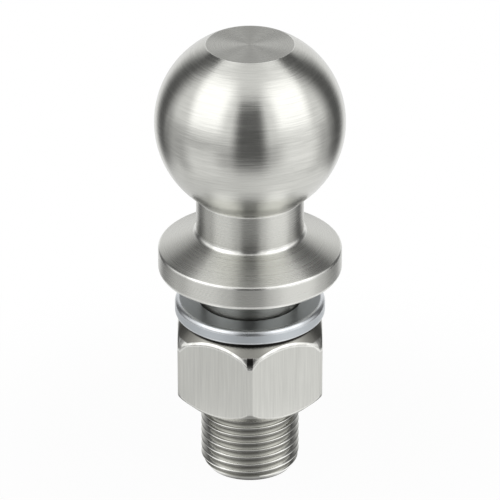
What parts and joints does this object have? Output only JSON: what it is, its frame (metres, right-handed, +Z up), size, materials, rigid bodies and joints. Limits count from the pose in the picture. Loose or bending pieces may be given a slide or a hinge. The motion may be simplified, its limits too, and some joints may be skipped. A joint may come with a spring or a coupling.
{
  "type": "threaded tow ball",
  "caption": "Turned steel tow ball on a necked flange and threaded shank, with a washer and a chamfered hexagon nut to clamp it to a drawbar.",
  "frame": {"origin": "middle of the flange's flat underside, the seat that bears on the drawbar, where the shank starts", "axes": "+Z up the stud's axis to the ball, -Z down the shank, -Y towards one corner of the nut"},
  "size_m": [0.05, 0.05, 0.1238],
  "materials": {
    "stud_steel": "bare steel, turned and polished",
    "washer_steel": "bright zinc plate",
    "nut_steel": "bare steel, ground flats and turned ends"
  },
  "bodies": {
    "stud": {"ball_stud": "stud_steel"},
    "washer": {"washer": "washer_steel"},
    "nut": {"hex_nut": "nut_steel"}
  },
  "joints": [
    {"name": "washer_travel", "type": "slide", "parent": "stud", "child": "washer", "axis": [0, 0, -1], "range_m": [-0.00226, 0.02176]},
    {"name": "nut_turn", "type": "hinge", "parent": "washer", "child": "nut", "pos_m": [0, 0, -0.0127], "axis": [0, 0, -1], "range_deg": [-360, 3480]}
  ],
  "couplings": [
    {"joint": "washer_travel", "follows": "nut_turn", "m_per_rad": 0.0003581}
  ]
}
